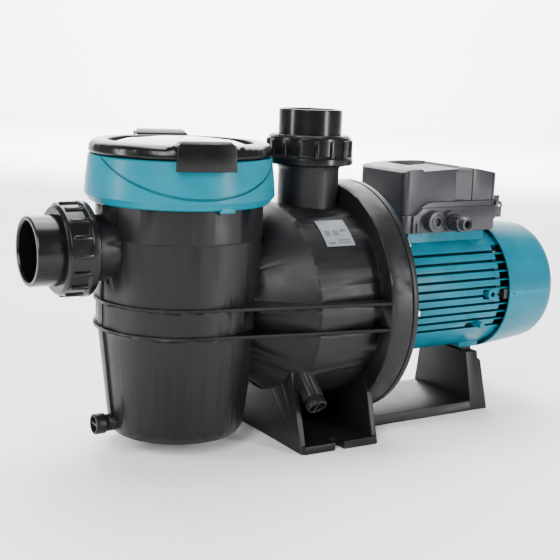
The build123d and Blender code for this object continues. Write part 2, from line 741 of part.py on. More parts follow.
# ---- terminal box -------------------------------------------------------------------
def box_outside():
    """Outside of the closed box: rounded upright corners under a crowned and arched top."""
    shell = block(box_left_x, box_right_x, -box_half_width, box_half_width, box_seat + 0.2, box_top)
    shell = fillet(shell.edges().filter_by(Axis.Z), 9)
    arch = Plane.XZ * make_face(Polyline(
        (box_left_x - 1, box_seat), (box_left_x - 1, box_top - 9.5), (box_left_x + 5, box_top - 6),
        (150, box_top - 1.5), (175, box_top), (205, box_top - 1), (238, box_top - 5.5),
        (box_right_x - 8, box_top - 9.5), (box_right_x + 1, box_top - 13), (box_right_x + 1, box_seat),
        close=True))
    crown = Plane.YZ * make_face(Polyline(
        (-60, box_seat), (-60, box_top - 9), (-box_half_width, box_top - 5), (-36, box_top - 0.8),
        (0, box_top + 1), (36, box_top - 0.8), (box_half_width, box_top - 5), (60, box_top - 9),
        (60, box_seat), close=True))
    return shell & extrude(arch, 100, both=True) & extrude(crown, 400)


def box_split(raise_by):
    """Everything above the stepped joint line between the box base and its lid."""
    step = make_face(Polyline(
        (box_left_x - 20, 253 + raise_by), (133, 253 + raise_by), (141, 256 + raise_by),
        (149, 263 + raise_by), (158, 267.4 + raise_by), (168, 268.5 + raise_by),
        (box_right_x + 20, 268.5 + raise_by), (box_right_x + 20, box_top + 30),
        (box_left_x - 20, box_top + 30), close=True))
    return extrude(Plane.XZ * step, 80, both=True)


panel_left_x = 199.0             # sunk strip down the near side of the box
panel_right_x = 227.0
panel_face_y = -46.0


def make_box_base():
    wall = 3.0
    base = box_outside() - box_split(0)
    base -= block(box_left_x + wall, box_right_x - wall, -box_half_width + wall, box_half_width - wall,
                  box_seat + 4, box_top)
    near_wall = -box_half_width
    skirt = block(box_left_x + 13, box_right_x - 4, near_wall - 3, near_wall + 1, box_seat + 1, 262)
    base += skirt - box_split(-1)
    for x, radius in ((blank_x, 13.0), (gland_x, 12.5)):
        base += rod("y", radius, -box_half_width - 15, -box_half_width + 1, x=x, z=gland_height)
    base -= block(262, box_right_x + 5, -60, 60, box_seat, 245)
    for side in (-1, 1):
        low, high = sorted((side * 38.2, side * 44.2))
        base += rod("y", 5.5, low, high, x=hinge_x, z=hinge_height)
        base += block(box_right_x - 2, hinge_x + 4.5, low, high, hinge_height - 15, hinge_height)
        base -= rod("y", 2.0, low - 1, high + 1, x=hinge_x, z=hinge_height)
    for x in (blank_x, gland_x):
        base -= rod("y", 8.0, -box_half_width - 16, -box_half_width + wall + 1, x=x, z=gland_height)
    for x in (box_left_x + 18, 176, gland_x - 12):
        base -= block(x - 1.4, x + 1.4, -box_half_width - 4, -box_half_width - 1.2, box_seat - 1, 243)
    base -= rod("z", 9, box_seat - 1, box_seat + 6, x=190)
    for x in (150, 236):
        for y in (-34, 34):
            base -= rod("z", 2.2, box_seat - 1, box_seat + 5, x=x, y=y)
    return base


def make_box_lid():
    wall = 3.0
    lid = box_outside() & box_split(0.6)
    lid -= block(box_left_x + wall, box_right_x - wall, -box_half_width + wall, box_half_width - wall,
                 box_seat, box_top - 17)
    lid -= block(panel_left_x, panel_right_x, -box_half_width - 1, panel_face_y, 240, box_top + 5)
    lid -= block(258.5, 259.7, -box_half_width - 1, -box_half_width + 1.2, 240, box_top + 5)
    valley = Plane.XZ * make_face(Polyline((142, box_top + 5), (150, box_top - 7), (206, box_top - 4.5),
                                           (214, box_top + 5), close=True))
    lid -= Pos(0, 26, 0) * extrude(valley, 100)
    for side in (-1, 1):
        low, high = sorted((side * 31.8, side * 37.8))
        lid += rod("y", 5.5, low, high, x=hinge_x, z=hinge_height)
        lid += block(box_right_x + 0.5, hinge_x + 5.5, low, high, hinge_height, hinge_height + 12)
        lid += block(box_right_x - 2, hinge_x + 5.5, low, high, hinge_height + 8.6, hinge_height + 12)
        lid -= rod("y", 2.05, low - 1, high + 1, x=hinge_x, z=hinge_height)
    return lid


def make_hinge_pins():
    return [rod("y", 2.0, low, low + 12.4, x=hinge_x, z=hinge_height) for low in (-44.2, 31.8)]


def make_box_gasket():
    """Cushion seal laid on the rear stretch of the box base's edge."""
    strip = block(172, box_right_x - 6, -box_half_width + 3.2, -box_half_width + 4.6, 262, 268.4)
    return [strip, Pos(0, 2 * box_half_width - 7.8, 0) * strip]


def make_box_screws():
    """Four screws through the floor of the box into the motor seat."""
    screws = []
    for x in (150, 236):
        for y in (-34, 34):
            stem = rod("z", 1.95, box_seat - 9, box_seat + 5, x=x, y=y)
            screws.append(stem + rod("z", 4, box_seat + 4, box_seat + 6.5, x=x, y=y))
    return screws


def make_terminal_block():
    """Terminal strip with six clamp pockets."""
    strip = block(132, 176, -6, 16, box_seat + 4, box_seat + 20)
    for i in range(6):
        strip -= block(134.5 + 7 * i, 139 + 7 * i, 8, 17, box_seat + 10, box_seat + 21)
        strip -= rod("z", 2, box_seat + 12, box_seat + 21, x=136.8 + 7 * i, y=0)
    return strip


def make_capacitor():
    """Motor run capacitor lying in the rear half of the box."""
    can = turned_x([(190, 0), (190, 15), (191.5, 17), (250, 17), (252, 15), (252, 0)], box_seat + 22.5)
    can += block(186, 191, 3, 5, box_seat + 15, box_seat + 21)
    can += block(186, 191, -5, -3, box_seat + 15, box_seat + 21)
    return Pos(0, 20, 0) * can


def make_gland_body():
    """Threaded gland body screwed into the box."""
    y0 = -box_half_width
    body = rod("y", 7.9, y0 - gland_reach + 10, y0 + 6, x=gland_x, z=gland_height)
    hexagon = Rot(90, 0, 0) * extrude(RegularPolygon(11.5, 6), 7)
    body += Pos(gland_x, y0 - 15.1, gland_height) * hexagon
    return body - rod("y", 6.2, y0 - gland_reach - 8, y0 + 10, x=gland_x, z=gland_height)


def make_gland_nut():
    """Fluted gland nut with a narrow nose, open for a cable."""
    y0 = -box_half_width
    tip = y0 - gland_reach
    nut = rod("y", 11.0, tip + 8, y0 - 22.4, x=gland_x, z=gland_height)
    nut = chamfer(nut.edges().filter_by(GeomType.CIRCLE).group_by(Axis.Y)[0], 1.5)
    nut += rod("y", 8.2, tip, tip + 9, x=gland_x, z=gland_height)
    nut -= rod("y", 8.3, tip + 9, y0 - 10, x=gland_x, z=gland_height)
    nut -= rod("y", 6.2, tip - 1, y0 - 10, x=gland_x, z=gland_height)
    for i in range(12):
        flute = rod("y", 1.2, tip + 7, y0 - 22, x=gland_x + 11.4, z=gland_height)
        nut -= Pos(gland_x, 0, gland_height) * Rot(0, 30 * i, 0) * Pos(-gland_x, 0, -gland_height) * flute
    return nut


def make_gland_seal():
    y0 = -box_half_width
    return ring("y", 6.1, 4.4, y0 - gland_reach + 1, y0 - gland_reach + 16, x=gland_x, z=gland_height)


def make_blank_plug():
    """Plug that closes the unused cable entry."""
    y0 = -box_half_width
    plug = rod("y", 7.9, y0 - 15.5, y0 + 5, x=blank_x, z=gland_height)
    plug -= rod("y", 5.0, y0 - 16, y0 - 10, x=blank_x, z=gland_height)
    return plug


# ---- stand and label ----------------------------------------------------------------
def make_motor_stand():
    """Base plate with an upright block that carries the motor."""
    plate = Pos(stand_left_x, 0, 0) * extrude(Plane.YZ * make_face(Polyline(
        (-stand_half_width - 3, 0), (stand_half_width + 3, 0), (stand_half_width, stand_plate),
        (-stand_half_width, stand_plate), close=True)), stand_face_x + 4 - stand_left_x)
    side = Plane.XZ * make_face(Polyline(
        (stand_face_x, 0), (stand_right_x, 0), (stand_right_x - 5.5, 62), (stand_right_x - 10, 65),
        (stand_right_x - 10, stand_top - 4.2), (stand_face_x - 3, stand_top - 4.2), close=True))
    upright = Pos(0, stand_half_width + 3, 0) * extrude(side, 2 * stand_half_width + 6)
    shape = Plane.YZ * make_face(Polyline(
        (-stand_half_width - 3, 0), (stand_half_width + 3, 0), (46, stand_top - 4.2),
        (-46, stand_top - 4.2), close=True))
    stand = plate + (upright & extrude(shape, 400))
    for y in (-22, 22):
        stand -= rod("z", 3.6, -1, stand_top, x=stand_screw_x, y=y)
        stand -= rod("z", 8, -1, 58, x=stand_screw_x, y=y)
    return stand


def make_stand_pad():
    pad = block(stand_face_x + 0.5, stand_right_x - 11, -34, 34, stand_top - 4, stand_top - 0.1)
    for y in (-22, 22):
        pad -= rod("z", 3.6, 60, 90, x=stand_screw_x, y=y)
    return pad


def make_stand_screws():
    screws = []
    for y in (-22, 22):
        stem = rod("z", 3.1, 57, 91, x=stand_screw_x, y=y)
        screws.append(stem + rod("z", 6.5, 52, 57.9, x=stand_screw_x, y=y))
    return screws


def make_plain_label():
    """Thin blank label bent round the drum on its upper side."""
    patch = turned_x([(-12, drum_radius + 0.75), (-12, drum_radius + 1.3), (26, drum_radius + 1.3),
                      (26, drum_radius + 0.75)])
    window = Pos(0, 0, shaft_height) * Rot(40, 0, 0) * block(-14.5, 25.5, -19, 19, 90, 130)
    return patch & window


# ---- build everything ---------------------------------------------------------------
os.makedirs("parts", exist_ok=True)

pot, drum, foot = split_casing()
save("strainer_pot", pot)
save("volute_casing", drum)
save("casing_foot", foot)
save("pot_collar", make_pot_collar())
save("lid_lock_ring", make_lid_ring())
save("clear_lid", make_clear_lid())
save("lid_oring", oval_ring(87.2, 3.0, pot_rim_top - 2.6, pot_rim_top + 0.2, pot_x))
save("strainer_basket", make_basket())
save("basket_handle", make_basket_handle())
for name, place in (("suction", place_suction), ("discharge", place_discharge)):
    save(name + "_socket", place(union_socket()))
    save(name + "_union_nut", place(union_nut()))
    save(name + "_union_oring", place(union_oring()))
save("pot_drain_plug", place_pot_drain(make_drain_plug(5.2, 14, 11.5, 12, 2.2)))
save("pot_drain_oring", place_pot_drain(oval_ring(7.4, 2.4, 0.05, 2.15)))
save("volute_drain_plug", place_volute_drain(make_drain_plug(6.2, 16, 11.5, 9, 2.2)))
save("volute_drain_oring", place_volute_drain(oval_ring(8.4, 2.4, 0.05, 2.15)))
save("diffuser", make_diffuser())
save("impeller", make_impeller())
save("seal_plate", make_seal_plate())
save("casing_screws", make_casing_screws())
save("casing_oring", make_casing_oring())
save("seal_seat", make_seal_seat())
save("seal_head", make_seal_head())
save("shaft_slinger", make_slinger())
save("motor_bracket", make_motor_bracket())
save("bracket_screws", make_bracket_screws())
save("front_bearing", make_bearing(front_bearing_x))
save("rear_bearing", make_bearing(rear_bearing_x))
save("motor_shaft", make_shaft())
save("rotor", make_rotor())
save("stator_core", make_stator())
save("stator_windings", make_windings())
save("motor_frame", make_motor_frame())
save("rear_end_shield", make_rear_shield())
save("tie_bolts", make_tie_bolts())
save("cooling_fan", make_fan())
save("fan_cover", make_fan_cover())
save("fan_cover_screws", make_cover_screws())
save("terminal_box_base", make_box_base())
save("terminal_box_lid", make_box_lid())
save("box_hinge_pins", make_hinge_pins())
save("box_gasket", make_box_gasket())
save("box_screws", make_box_screws())
save("terminal_block", make_terminal_block())
save("run_capacitor", make_capacitor())
save("gland_body", make_gland_body())
save("gland_nut", make_gland_nut())
save("gland_seal", make_gland_seal())
save("blank_plug", make_blank_plug())
save("motor_stand", make_motor_stand())
save("stand_pad", make_stand_pad())
save("stand_screws", make_stand_screws())
save("plain_label", make_plain_label())
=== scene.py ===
import math

import bpy
from mathutils import Matrix, Vector


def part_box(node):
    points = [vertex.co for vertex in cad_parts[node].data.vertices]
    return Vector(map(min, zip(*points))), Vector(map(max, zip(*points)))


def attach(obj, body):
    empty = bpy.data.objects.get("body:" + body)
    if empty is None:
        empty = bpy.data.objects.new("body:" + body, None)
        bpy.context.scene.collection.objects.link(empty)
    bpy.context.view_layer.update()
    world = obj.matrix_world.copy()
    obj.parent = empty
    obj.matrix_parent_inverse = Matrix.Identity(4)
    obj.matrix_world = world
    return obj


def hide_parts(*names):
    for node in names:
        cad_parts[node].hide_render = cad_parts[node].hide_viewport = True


bl_info = {
    "name": "Pool pump",
    "version": (1, 0, 0),
    "blender": (4, 5, 0),
    "location": "View3D > Sidebar > Pool pump",
    "description": "Builds the finished look of a self-priming pool pump around its packed frame",
    "category": "Object",
}

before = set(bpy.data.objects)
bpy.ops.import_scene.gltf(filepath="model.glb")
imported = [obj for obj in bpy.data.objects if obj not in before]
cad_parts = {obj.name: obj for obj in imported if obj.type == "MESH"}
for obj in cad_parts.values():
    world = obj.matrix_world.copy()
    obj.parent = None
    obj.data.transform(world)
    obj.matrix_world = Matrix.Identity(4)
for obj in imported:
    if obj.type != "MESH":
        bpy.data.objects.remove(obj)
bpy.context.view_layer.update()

MM = 0.001
ROUND_STEPS = 144               # flats round a full turn

COLLAR_HEIGHT = 50.6            # all lengths below are in millimetres
COLLAR_WALL = 13.1              # from the collar's bore to its widest line
CHANNEL_DEPTH = 21.6            # how far down from the top the collar's wider bore reaches
TAB_ANGLE = 4.0                 # where the collar's tab stands, degrees from -Y
GRIP_ANGLE = -102.0             # where the near grip stands, degrees from +X
GRIP_HALF_WIDTH = 30.4
GRIP_END_WALL = 2.8
GRIP_REACH = (102.4, 110.4)     # from the pot's middle
GRIP_RISE = (-8.4, 18.0)        # from the collar's top
LABEL_ANGLE = 40.0              # degrees from the top of the drum towards -Y
LABEL_RADIUS = 116.36           # face of the label, from the shaft line
COVER_WALL = 2.4
COVER_TAPER = 7.6               # how much the fan cover narrows towards the rear
GRILLE_RADII = (18, 29, 40, 51)
GRILLE_HALF_WIDTH = 3.4
INLAY_SPAN = (199.6, 226.4)     # along X
INLAY_RISE = (39.5, 74.0)       # above the terminal box's seat
HAZE_PATCH = 30
MOULD_WAVE = 26
PAINTED_SHADE_REACH = 7.0              # how near a wall has to be for painted shade to darken a groove


# ---- reading the frame --------------------------------------------------------------
def low(node):
    """Lowest corner of a node's box, in millimetres."""
    return Vector(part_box(node)[0]) / MM


def high(node):
    """Highest corner of a node's box, in millimetres."""
    return Vector(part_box(node)[1]) / MM


def middle(node):
    return (low(node) + high(node)) / 2


SHAFT = Vector((0, 0, middle("motor_shaft").z))
POT = Vector((middle("pot_collar").x, 0, 0))
COLLAR_RADIUS = (high("pot_collar").x - low("pot_collar").x) / 2
COLLAR_TOP = high("pot_collar").z
SUCTION = Vector((low("suction_socket").x, 0, middle("suction_socket").z))
DISCHARGE = Vector((middle("discharge_socket").x, 0, high("discharge_socket").z))
COVER_FRONT = low("fan_cover").x
COVER_REAR = high("fan_cover").x
COVER_RADIUS = (high("fan_cover").z - low("fan_cover").z) / 2


# ---- settings a user would change ---------------------------------------------------
def colour(name, text, value):
    return bpy.props.StringProperty(name=name, description=text, default=value)


def length(name, text, value):
    return bpy.props.FloatProperty(name=name, description=text, default=value, min=0.0)


class PumpColours(bpy.types.PropertyGroup):
    """Colours of the pump's finishes, as sRGB hex."""
    black: colour("Black moulding", "Colour of the glass-filled housing", "#131315")
    gloss: colour("Black gloss moulding", "Colour of the lock ring and unions", "#0a0a0b")
    teal: colour("Collar", "Colour of the moulded pot collar", "#006a7c")
    paint: colour("Motor paint", "Colour of the painted motor", "#005e70")
    grey: colour("Terminal box", "Colour of the terminal box moulding", "#26262b")
    floor: colour("Floor", "Colour of the plain floor", "#fcfcfc")


class PumpSizes(bpy.types.PropertyGroup):
    """Small sizes of the pump's details, in millimetres."""
    edge: length("Edge rounding", "Rounding on moulded edges, mm", 0.9)
    groove_drop: length("Swoosh drop", "How far the collar groove dips, mm", 58.5)
    groove_low: length("Swoosh height", "Lowest point of the groove above the collar base, mm", 12.3)
    groove_width: length("Swoosh width", "Width of the collar groove, mm", 2.6)
    nut_ribs: bpy.props.IntProperty(name="Nut ribs", description="Grip ribs on a union nut", default=16,
                                    min=4)


# ---- small modelling tools ----------------------------------------------------------
def deselect():
    if bpy.context.mode != "OBJECT":
        bpy.ops.object.mode_set(mode="OBJECT")
    bpy.ops.object.select_all(action="DESELECT")


def select(obj):
    deselect()
    obj.select_set(True)
    bpy.context.view_layer.objects.active = obj


def name_last(name):
    obj = bpy.context.active_object
    obj.name = name
    obj.data.name = name
    return obj


def soften(outline, steps=5):
    """Turns (a, b, radius) corners into points, with an arc of that radius at each corner."""
    points = []
    count = len(outline)
    for i in range(count):
        here = Vector(outline[i][:2])
        size = outline[i][2] if len(outline[i]) > 2 else 0.0
        before = Vector(outline[i - 1][:2]) - here
        after = Vector(outline[(i + 1) % count][:2]) - here
        if size <= 0:
            points.append(here)
            continue
        turn = before.angle(after)
        reach = min(size / math.tan(turn / 2), before.length * 0.49, after.length * 0.49)
        start = here + before.normalized() * reach
        end = here + after.normalized() * reach
        for k in range(steps + 1):
            t = k / steps
            points.append(start * (1 - t) ** 2 + here * 2 * t * (1 - t) + end * t ** 2)
    return points


def turned(name, outline, axis, centre, steps=ROUND_STEPS):
    """Spins a closed outline of (radius, place along the axis, corner radius), all in mm."""
    def place(point):
        if axis == "X":
            return Vector((point[1], centre.y, centre.z + point[0])) * MM
        if axis == "Y":
            return Vector((centre.x, point[1], centre.z + point[0])) * MM
        return Vector((centre.x + point[0], centre.y, point[1])) * MM

    points = [place(p) for p in soften(outline)]
    deselect()
    bpy.ops.mesh.primitive_plane_add(size=0.001, location=points[0])
    obj = name_last(name)
    bpy.ops.object.transform_apply(location=True, rotation=True, scale=True)
    bpy.ops.object.mode_set(mode="EDIT")
    bpy.ops.mesh.select_all(action="SELECT")
    bpy.ops.mesh.merge(type="CENTER")
    for here, there in zip(points, points[1:] + points[:1]):
        bpy.ops.mesh.extrude_region_move(TRANSFORM_OT_translate={"value": there - here})
    bpy.ops.mesh.select_all(action="SELECT")
    direction = {"X": (1, 0, 0), "Y": (0, 1, 0), "Z": (0, 0, 1)}[axis]
    bpy.ops.mesh.spin(steps=steps, angle=2 * math.pi, center=centre * MM, axis=direction)
    bpy.ops.mesh.select_all(action="SELECT")
    bpy.ops.mesh.remove_doubles(threshold=0.00002)
    bpy.ops.mesh.normals_make_consistent(inside=False)
    bpy.ops.object.mode_set(mode="OBJECT")
    return smooth(obj)


def smooth(obj, degrees=32):
    select(obj)
    bpy.ops.object.shade_smooth_by_angle(angle=math.radians(degrees))
    return obj


def rounded_block(name, corner_a, corner_b, rounding=1.0, segments=3):
    """A block between two corners in mm, with every edge rounded."""
    a, b = Vector(corner_a), Vector(corner_b)
    deselect()
    bpy.ops.mesh.primitive_cube_add(size=1.0, location=(a + b) / 2 * MM)
    obj = name_last(name)
    obj.scale = (b - a) * MM
    bpy.ops.object.transform_apply(location=True, rotation=True, scale=True)
    if rounding > 0:
        bpy.ops.object.mode_set(mode="EDIT")
        bpy.ops.mesh.select_all(action="SELECT")
        bpy.ops.mesh.bevel(offset=rounding * MM, segments=segments, affect="EDGES", clamp_overlap=True)
        bpy.ops.object.mode_set(mode="OBJECT")
    return obj


def use_modifier(obj, kind, **settings):
    """Adds one modifier with its settings and applies it."""
    select(obj)
    modifier = obj.modifiers.new(kind.title(), kind)
    for key, value in settings.items():
        setattr(modifier, key, value)
    bpy.ops.object.modifier_apply(modifier=modifier.name)
    return obj


def cut(obj, *tools):
    """Cuts tools out of a piece and removes them."""
    for tool in tools:
        use_modifier(obj, "BOOLEAN", operation="DIFFERENCE", solver="EXACT", object=tool)
        bpy.data.objects.remove(tool)
    return obj


def add(obj, *others):
    """Joins closed shapes into one piece by union."""
    for other in others:
        use_modifier(obj, "BOOLEAN", operation="UNION", solver="EXACT", object=other)
        bpy.data.objects.remove(other)
    return obj


def join(name, objects):
    """Joins shapes into one piece without merging them."""
    deselect()
    for obj in objects:
        obj.select_set(True)
    bpy.context.view_layer.objects.active = objects[0]
    if len(objects) > 1:
        bpy.ops.object.join()
    return name_last(name)


def copies_round(obj, count, centre, axis):
    """The shape and its copies spread evenly round an axis line, centre in mm."""
    shapes = [obj]
    for i in range(1, count):
        turn = Matrix.Rotation(2 * math.pi * i / count, 4, axis)
        shift = Matrix.Translation(centre * MM)
        copy = obj.copy()
        copy.data = obj.data.copy()
        bpy.context.collection.objects.link(copy)
        copy.data.transform(shift @ turn @ shift.inverted())
        shapes.append(copy)
    return shapes


def merged_copy(node):
    """A copy of a CAD node as one clean mesh, with flat faces in one piece each."""
    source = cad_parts[node]
    copy = source.copy()
    copy.data = source.data.copy()
    copy.parent = None
    copy.matrix_world = source.matrix_world.copy()
    bpy.context.collection.objects.link(copy)
    copy.name = node + "_finished"
    select(copy)
    bpy.ops.object.transform_apply(location=True, rotation=True, scale=True)
    return tidy_faces(copy)


def tidy_faces(obj):
    select(obj)
    bpy.ops.object.mode_set(mode="EDIT")
    bpy.ops.mesh.select_all(action="SELECT")
    bpy.ops.mesh.remove_doubles(threshold=0.00002)
    bpy.ops.mesh.dissolve_limited(angle_limit=math.radians(0.6))
    bpy.ops.mesh.select_all(action="SELECT")
    bpy.ops.mesh.normals_make_consistent(inside=False)
    bpy.ops.object.mode_set(mode="OBJECT")
    return obj


def round_edges(obj, rounding, angle):
    """Rounds every edge sharper than the angle, then shades the curved faces smooth."""
    if rounding > 0:
        use_modifier(obj, "BEVEL", width=rounding * MM, segments=2, limit_method="ANGLE",
                     angle_limit=math.radians(angle), use_clamp_overlap=True, harden_normals=False)
    return smooth(obj, 30)


def refined(node, rounding=0.8, angle=28):
    """A merged copy of a CAD node with rounded edges and smooth curved faces."""
    return round_edges(merged_copy(node), rounding, angle)


# ---- material tools -----------------------------------------------------------------
def linear(code):
    """sRGB hex to linear colour."""
    values = [int(code[i:i + 2], 16) / 255 for i in (1, 3, 5)]
    return tuple(v / 12.92 if v <= 0.04045 else ((v + 0.055) / 1.055) ** 2.4 for v in values) + (1.0,)


def per(size):
    """Noise scale for a pattern whose features are this many millimetres apart."""
    return 1000.0 / size


def shift(code, amount):
    """The same hex colour, lighter or darker."""
    values = [min(255, max(0, round(int(code[i:i + 2], 16) * (1 + amount)))) for i in (1, 3, 5)]
    return "#" + "".join("%02x" % v for v in values)


def node(tree, kind, inputs=None, **settings):
    """Adds one shader node with its settings; an input is a value or a socket to link."""
    made = tree.nodes.new(kind)
    for key, value in settings.items():
        setattr(made, key, value)
    for key, value in (inputs or {}).items():
        if isinstance(value, bpy.types.NodeSocket):
            tree.links.new(value, made.inputs[key])
        else:
            made.inputs[key].default_value = value
    return made


def blank_material(name):
    material = bpy.data.materials.new(name)
    material.use_nodes = True
    material.node_tree.nodes.clear()
    return material, material.node_tree


def surface(name, base, variation=0.06, patch=40.0, rough=0.4, rough_spread=0.06, grain=0.8,
            grain_depth=0.05, wave=12.0, wave_depth=0.0, metallic=0.0, ior=1.5, coat=0.0,
            coat_rough=0.1, rounding=0.6, wear=0.0, stretch=(1, 1, 1), painted_recess_shade=None, specular=0.5):
    """Builds a solid finish: slow colour drift, uneven gloss, fine grain and soft edges, and, when a shade
    colour is given, painted shade darkening grooves and hollows.
    """
    material, tree = blank_material(name)
    place = node(tree, "ShaderNodeTexCoord").outputs["Object"]
    aligned = node(tree, "ShaderNodeMapping", {"Vector": place, "Scale": stretch}).outputs["Vector"]
    drift = node(tree, "ShaderNodeTexNoise", {"Vector": aligned, "Scale": per(patch), "Detail": 3.0})
    tint = node(tree, "ShaderNodeValToRGB", {"Fac": drift.outputs["Fac"]})
    tint.color_ramp.elements[0].position = 0.3
    tint.color_ramp.elements[1].position = 0.7
    tint.color_ramp.elements[0].color = linear(shift(base, -variation))
    tint.color_ramp.elements[1].color = linear(shift(base, variation))
    colour_out = tint.outputs["Color"]
    if wear > 0:
        edge = node(tree, "ShaderNodeNewGeometry").outputs["Pointiness"]
        worn = node(tree, "ShaderNodeMapRange", {"Value": edge, "From Min": 0.53, "From Max": 0.62,
                                                 "To Min": 0.0, "To Max": wear}).outputs["Result"]
        mix = node(tree, "ShaderNodeMix", {"Factor": worn}, data_type="RGBA")
        tree.links.new(colour_out, mix.inputs["A"])
        mix.inputs["B"].default_value = linear(shift(base, 0.9))
        colour_out = mix.outputs["Result"]
    # Painted shade: ambient occlusion within the piece darkens the colour towards a dark shade colour in
    # grooves and hollows.
    if painted_recess_shade:
        open_sky = node(tree, "ShaderNodeAmbientOcclusion", {"Distance": PAINTED_SHADE_REACH * MM}, samples=6,
                        only_local=True).outputs["AO"]
        shade = node(tree, "ShaderNodeMapRange", {"Value": open_sky, "From Min": 0.25, "From Max": 0.8,
                                                  "To Min": 1.0, "To Max": 0.0}).outputs["Result"]
        deep = node(tree, "ShaderNodeMix", {"Factor": shade}, data_type="RGBA")
        tree.links.new(colour_out, deep.inputs["A"])
        deep.inputs["B"].default_value = linear(painted_recess_shade)
        colour_out = deep.outputs["Result"]
    gloss = node(tree, "ShaderNodeTexNoise", {"Vector": aligned, "Scale": per(patch * 0.35), "Detail": 4.0})
    rough_out = node(tree, "ShaderNodeMapRange", {
        "Value": gloss.outputs["Fac"], "From Min": 0.3, "From Max": 0.7,
        "To Min": rough - rough_spread, "To Max": rough + rough_spread}).outputs["Result"]
    fine = node(tree, "ShaderNodeTexNoise", {"Vector": aligned, "Scale": per(grain), "Detail": 2.0})
    rounded = node(tree, "ShaderNodeBevel", {"Radius": rounding * MM}, samples=4).outputs["Normal"]
    normal = node(tree, "ShaderNodeBump", {"Height": fine.outputs["Fac"], "Strength": 0.5,
                                           "Distance": grain_depth * MM, "Normal": rounded}).outputs["Normal"]
    if wave_depth > 0:
        slow = node(tree, "ShaderNodeTexNoise", {"Vector": place, "Scale": per(wave), "Detail": 1.0})
        normal = node(tree, "ShaderNodeBump", {
            "Height": slow.outputs["Fac"], "Strength": 0.6, "Distance": wave_depth * MM,
            "Normal": normal}).outputs["Normal"]
    shader = node(tree, "ShaderNodeBsdfPrincipled", {
        "Base Color": colour_out, "Roughness": rough_out, "Normal": normal, "Metallic": metallic,
        "IOR": ior, "Specular IOR Level": specular, "Coat Weight": coat, "Coat Roughness": coat_rough})
    node(tree, "ShaderNodeOutputMaterial", {"Surface": shader.outputs["BSDF"]})
    return material


def clear_polycarbonate():
    """Injection-moulded polycarbonate: clear, glossy, with a faint haze from pool water."""
    material, tree = blank_material("clear_polycarbonate_moulded")
    place = node(tree, "ShaderNodeTexCoord").outputs["Object"]
    haze = node(tree, "ShaderNodeTexNoise", {"Vector": place, "Scale": per(HAZE_PATCH), "Detail": 3.0})
    rough = node(tree, "ShaderNodeMapRange", {"Value": haze.outputs["Fac"], "To Min": 0.03, "To Max": 0.12})
    tint = node(tree, "ShaderNodeValToRGB", {"Fac": haze.outputs["Fac"]})
    tint.color_ramp.elements[0].color = linear("#aeb7bb")
    tint.color_ramp.elements[1].color = linear("#c6cdd0")
    wave = node(tree, "ShaderNodeTexNoise", {"Vector": place, "Scale": per(MOULD_WAVE), "Detail": 0.0})
    normal = node(tree, "ShaderNodeBump", {"Height": wave.outputs["Fac"], "Strength": 0.3,
                                           "Distance": 0.2 * MM})
    shader = node(tree, "ShaderNodeBsdfPrincipled", {
        "Base Color": tint.outputs["Color"], "Roughness": rough.outputs["Result"],
        "Normal": normal.outputs["Normal"], "IOR": 1.585, "Transmission Weight": 0.55})
    node(tree, "ShaderNodeOutputMaterial", {"Surface": shader.outputs["BSDF"]})
    return material


